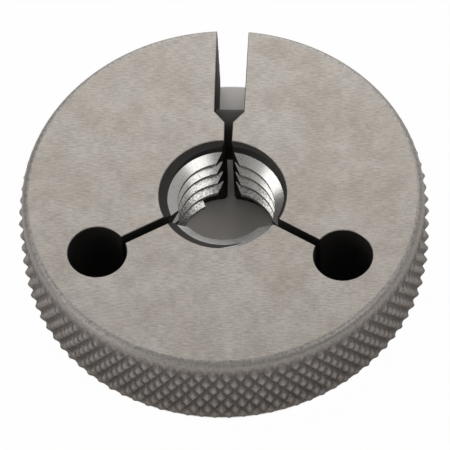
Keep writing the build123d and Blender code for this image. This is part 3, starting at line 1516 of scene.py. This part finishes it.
@dataclass(frozen=True)
class Studio:
    """Floor, lamps, world and camera."""

    world_light: float = 0.5
    world_colour: tuple[float, ...] = (1.0, 0.99, 0.98, 1.0)
    floor_size: float = 8.0  # metres
    floor_colour: str = "#ece7e2"
    # near the gauge the floor is only as light as it is lit, save for a little painted
    # light under its outer edge, and farther off it is
    # white. Each step: the rays that see it, where from the middle it starts and ends
    # in mm, and the white that it adds
    white_and_painted_light_steps: tuple[tuple[tuple[str, ...], float, float, float], ...] = (
        # painted light: a faint glow on the floor under the gauge's outer edge, rising
        # outwards
        (("Is Camera Ray", "Is Transmission Ray"), 16.5, 21.5, 0.06),
        (("Is Camera Ray", "Is Transmission Ray"), 21.5, 21.7, 0.92),
        (("Is Glossy Ray",), 21.5, 36.0, 0.98),
    )
    softboxes: tuple[Softbox, ...] = (
        Softbox("back_overhead", 90.0, 38.5, 0.33, 0.30, 1.22),
        Softbox("back_low", 90.0, 13.0, 0.60, 0.20, 1.2),
        Softbox("right_high", -20.0, 52.0, 0.55, 0.24, 1.5),
        Softbox("left_side", 178.0, 42.0, 0.55, 0.24, 1.8),
        Softbox("left_front", 214.0, 16.0, 0.60, 0.30, 1.6),
    )
    # where the surround is darker: direction, share of its light lost, half width
    gloom: tuple[tuple[float, float, float, float], ...] = (
        (150.0, 6.0, 0.8, 30.0),
        (-90.0, 74.0, 0.5, 20.0),
        (-42.0, 10.0, 0.5, 24.0),
    )
    fade: Point = (1.5, 0.5)  # half widths where it starts and is full
    camera_azimuth: float = 5.173
    camera_elevation: float = 57.324
    camera_distance: float = 521.89  # mm
    camera_roll: float = -3.595
    camera_target: Triple = (0.096, -0.470, 5.555)
    lens: float = 381.6

    def floor_material(self) -> bpy.types.Material:
        """White paper, which shows white beyond the gauge's own shade, with a little
        painted light under its outer edge.
        """
        made = bpy.data.materials.new("white_paper_floor")
        made.use_nodes = True
        tree = made.node_tree
        tree.nodes.clear()
        colour = linear(self.floor_colour)
        paper = add_node(tree, "ShaderNodeBsdfDiffuse", {"Color": colour})
        values = {"Color": (1.0,) * 4, "Strength": 1.0}
        white = add_node(tree, "ShaderNodeEmission", values)
        ray = add_node(tree, "ShaderNodeLightPath").outputs
        where = add_node(tree, "ShaderNodeTexCoord").outputs["Object"]
        radius = add_node(tree, VECTORS, (where,), operation="LENGTH").outputs["Value"]
        share: Socket | float = 0.0
        for seen_by, start, end, amount in self.white_and_painted_light_steps:
            inputs = (radius, start * MM, end * MM, 0.0, amount)
            outside = add_node(tree, RANGE, inputs, **SMOOTHLY).outputs[0]
            for kind in seen_by:
                inputs = (ray[kind], outside, share)
                share = add_node(tree, MATHS, inputs, **MULTIPLY_ADD).outputs[0]
        inputs = (share, paper.outputs[0], white.outputs[0])
        mix = add_node(tree, "ShaderNodeMixShader", inputs)
        add_node(tree, "ShaderNodeOutputMaterial", (mix.outputs[0],))
        return made

    def build_floor(self) -> bpy.types.Object:
        """A plain sheet on the plane that the gauge stands on."""
        half = self.floor_size / 2
        mesh = bpy.data.meshes.new("floor")
        signs = ((-1, -1), (1, -1), (1, 1), (-1, 1))
        corners = [(x * half, y * half, 0) for x, y in signs]
        mesh.from_pydata(corners, [], [(0, 1, 2, 3)])
        mesh.materials.append(self.floor_material())
        return new_object("floor", mesh)

    def build_world(self) -> None:
        """A grey surround that is darker towards some corners of the room."""
        world = bpy.data.worlds.new("surround")
        world.use_nodes = True
        tree = world.node_tree
        where = add_node(tree, "ShaderNodeTexCoord").outputs["Generated"]
        light: Any = self.world_light
        for azimuth, elevation, loss, half_width in self.gloom:
            start, end = (cos(radians(half_width * share)) for share in self.fade)
            known = {"where": where, "light": light}
            inputs = ("where", direction(azimuth, elevation))
            rows = (
                ("nearness", VECTORS, inputs, {"operation": "DOT_PRODUCT"}),
                ("kept", RANGE, ("nearness", start, end, 1.0, 1.0 - loss), SMOOTHLY),
                ("light", MATHS, ("light", "kept"), {"operation": "MULTIPLY"}),
            )
            add_nodes(tree, known, rows)
            light = known["light"]
        surround = tree.nodes["Background"]
        surround.inputs["Color"].default_value = self.world_colour
        tree.links.new(light, surround.inputs["Strength"])
        bpy.context.scene.world = world

    def build_camera(self) -> None:
        """A long lens, high in front of the gauge."""
        around, up = radians(self.camera_azimuth), radians(self.camera_elevation)
        back = Vector((sin(around) * cos(up), -cos(around) * cos(up), sin(up)))
        right = (-back).cross(Vector((0, 0, 1))).normalized()
        above = back.cross(right)
        roll = radians(self.camera_roll)
        turned_right = right * cos(roll) + above * sin(roll)
        turned_above = above * cos(roll) - right * sin(roll)
        axes = Matrix((turned_right, turned_above, back)).transposed()
        data = bpy.data.cameras.new("camera")
        data.lens = self.lens
        data.sensor_width = 36.0
        camera = bpy.data.objects.new("camera", data)
        spot = (Vector(self.camera_target) + back * self.camera_distance) * MM
        camera.matrix_world = Matrix.Translation(spot) @ axes.to_4x4()
        bpy.context.scene.collection.objects.link(camera)
        bpy.context.scene.camera = camera

    def build(self) -> None:
        """Set the whole studio up."""
        self.build_floor()
        self.build_world()
        for softbox in self.softboxes:
            softbox.build()
        self.build_camera()
        bpy.context.scene.view_settings.view_transform = "Standard"


def main() -> None:
    """Build every piece, set it on its body, and set up the studio."""
    logging.basicConfig(level=logging.INFO, format="%(name)s: %(message)s")
    screws = ScrewLine()
    adjusting = AdjustingScrew("adjusting_screw", 3.125, 2.66, screws.pitch)
    locking = LockingScrew("locking_screw", 1.7, 1.42, 25.4 / 40)
    pieces = (
        (RingBody().build(screws), "ring", "ring_body", "ring_steel"),
        (Sleeve().build(), "ring", "sleeve", "sleeve_steel"),
        (adjusting.build(), "adjusting_screw", "adjusting_screw", "screw_steel"),
        (locking.build(), "locking_screw", "locking_screw", "screw_steel"),
    )
    for piece, body, node, slot in pieces:
        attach(piece, body)
        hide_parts(node)
        LOG.info("%s: %d faces, on %s", piece.name, len(piece.data.polygons), body)
    Studio().build()


if __name__ == "__main__":
    main()
